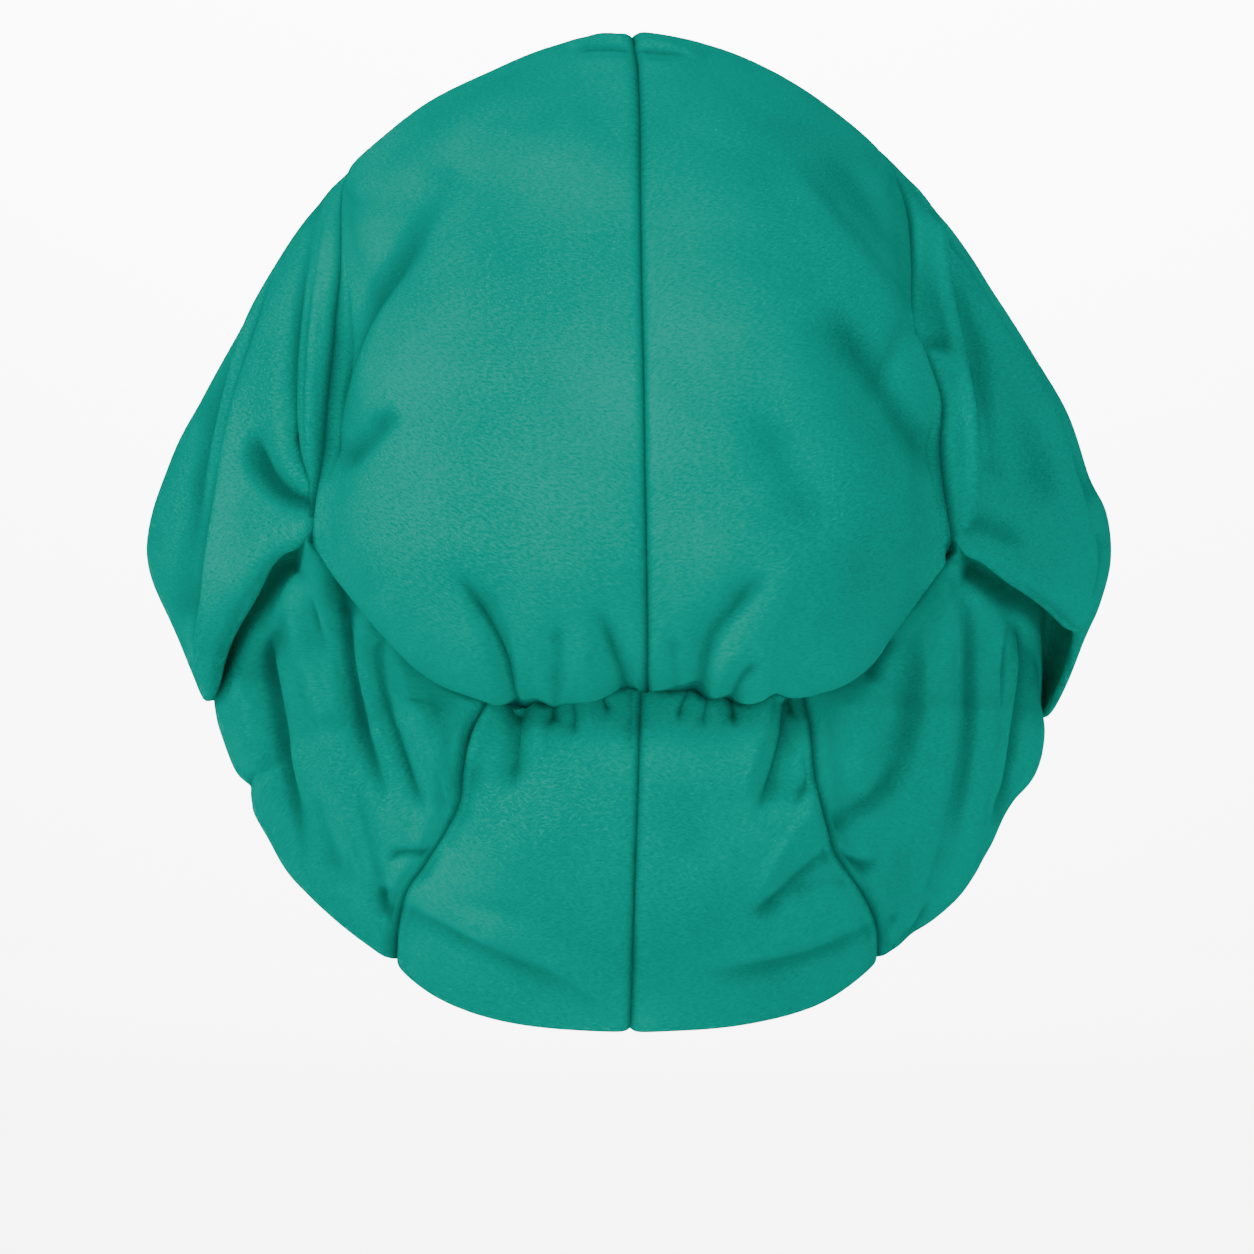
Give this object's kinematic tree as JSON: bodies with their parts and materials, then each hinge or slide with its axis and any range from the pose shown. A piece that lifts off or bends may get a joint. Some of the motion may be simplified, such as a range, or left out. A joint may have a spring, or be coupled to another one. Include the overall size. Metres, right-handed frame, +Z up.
{
  "type": "scrub cap",
  "caption": "Soft bouffant surgical scrub cap in its worn shape, with a full gathered back pouch, a nape panel and draped side panels.",
  "frame": {"origin": "centre of the head opening, half way in height between the nape hem and the forehead hem", "axes": "+X towards the wearer's right, +Y the way the wearer faces, +Z up to the crown"},
  "size_m": [0.2432, 0.2425, 0.2496],
  "materials": {
    "cap_cloth": "matt brushed woven cloth, emerald green"
  },
  "bodies": {
    "root": {"back_panel_left": "cap_cloth", "back_panel_right": "cap_cloth", "nape_panel_left": "cap_cloth", "nape_panel_right": "cap_cloth", "side_panel_left": "cap_cloth", "side_panel_right": "cap_cloth"}
  },
  "joints": []
}
